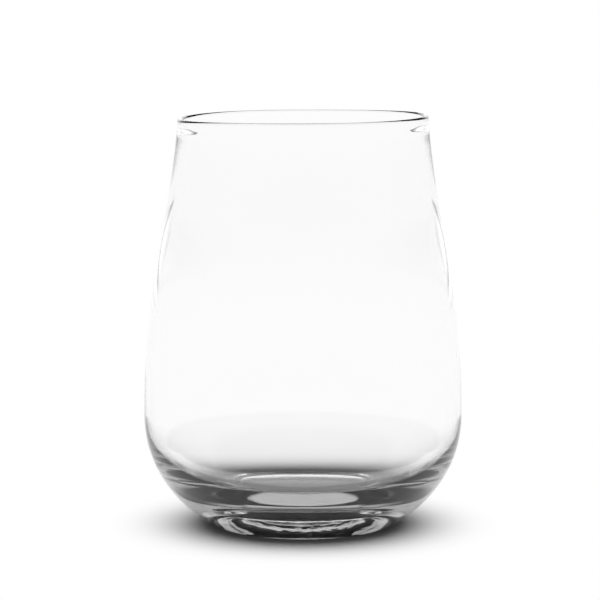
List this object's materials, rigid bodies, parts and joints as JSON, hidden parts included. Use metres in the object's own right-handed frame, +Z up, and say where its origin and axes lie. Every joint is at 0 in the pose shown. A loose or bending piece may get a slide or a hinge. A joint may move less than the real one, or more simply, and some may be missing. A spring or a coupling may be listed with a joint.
{
  "type": "stemless wine glass",
  "caption": "Stemless wine glass of clear blown glass: a rounded bowl on a thick heel, narrowing to a fire-polished rim, open at the top.",
  "frame": {"origin": "centre of the ring on which the glass stands, on the table", "axes": "+Z up along the axis of the bowl, out of the mouth; X and Y are free, because the glass is round"},
  "size_m": [0.0932, 0.0932, 0.12],
  "materials": {
    "clear_glass": "clear, fire-polished"
  },
  "bodies": {
    "root": {"glass": "clear_glass"}
  },
  "joints": []
}
